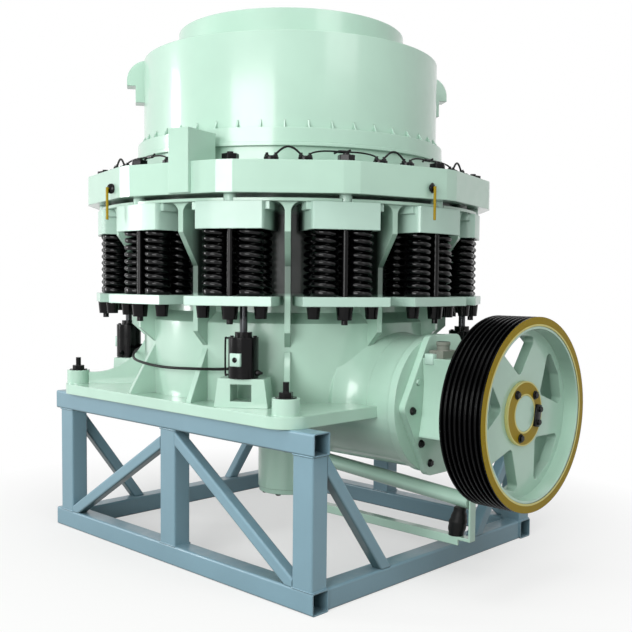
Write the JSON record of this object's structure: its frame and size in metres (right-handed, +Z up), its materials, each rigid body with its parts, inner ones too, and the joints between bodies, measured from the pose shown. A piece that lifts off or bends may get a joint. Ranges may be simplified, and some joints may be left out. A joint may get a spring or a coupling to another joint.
{
  "type": "spring cone crusher on a steel stand",
  "caption": "Spring cone crusher with a ring of coil springs under its adjusting ring, a feed hopper on top, a spoked V-belt pulley at the side and a square-tube stand.",
  "frame": {"origin": "on the ground, under the middle of the overall box; the crusher's own axis stands at x = -0.2334", "axes": "+Z up along the crusher's axis, +X along the countershaft towards the drive pulley, -Y towards the long face of the stand"},
  "size_m": [2.6872, 2.2204, 2.749],
  "materials": {
    "mint_paint": "satin machine enamel over castings and plate",
    "pale_mint_paint": "satin machine enamel, a paler coat",
    "stand_paint": "satin blue-grey enamel on welded tube",
    "spring_black": "black gloss enamel on coiled spring steel",
    "black_paint": "black semi-gloss enamel",
    "black_rubber": "smooth black hose rubber",
    "bright_steel": "turned and oiled steel",
    "manganese_steel": "as-cast manganese steel, ground on the faces",
    "gold_paint": "olive-gold enamel",
    "pulley_black": "black enamel over turned grooves",
    "brown_primer": "brown primer"
  },
  "bodies": {
    "frame": {"stand_bottom_long_rails": "stand_paint", "stand_bottom_cross_rails": "stand_paint", "stand_top_long_rails": "stand_paint", "stand_top_cross_rail": "stand_paint", "stand_posts": "stand_paint", "stand_braces_front": "stand_paint", "stand_braces_back": "stand_paint", "stand_braces_sides": "stand_paint", "foundation_bolts": "black_paint", "main_frame": "mint_paint", "lower_hub": "mint_paint", "bottom_cover": "mint_paint", "countershaft_box": "mint_paint", "box_end_cover": "mint_paint", "breather": "brown_primer", "spring_caps": "pale_mint_paint", "outer_springs": "spring_black", "inner_springs": "spring_black", "mantle": "manganese_steel", "feed_plate": "manganese_steel", "jack_brackets": "mint_paint", "jack_cylinders": "black_paint", "jack_hose": "black_rubber", "oil_drain_pipe": "mint_paint", "drain_hose": "black_rubber", "drain_bracket": "mint_paint"},
    "ring": {"spring_plates": "pale_mint_paint", "plate_nuts": "black_paint", "spring_bolts": "black_paint", "adjusting_ring": "mint_paint", "clamp_ring": "mint_paint", "clamp_cylinders": "black_paint", "drive_ring": "mint_paint", "bowl_cap": "mint_paint", "feed_hopper": "mint_paint", "bowl_liner": "manganese_steel", "lock_block": "mint_paint", "setting_rods": "gold_paint", "setting_knobs": "black_paint", "jack_rods": "bright_steel"},
    "drive": {"countershaft": "bright_steel", "pulley": "pulley_black", "pulley_web": "mint_paint", "pulley_bush": "gold_paint", "shaft_cap": "mint_paint"}
  },
  "joints": [
    {"name": "countershaft_spin", "type": "hinge", "parent": "frame", "child": "drive", "pos_m": [1.2376, 0, 0.831], "axis": [1, 0, 0], "continuous": true},
    {"name": "ring_release", "type": "slide", "parent": "frame", "child": "ring", "axis": [0, 0, 1], "range_m": [0, 0.045], "deforming": ["outer_springs", "inner_springs"]}
  ]
}
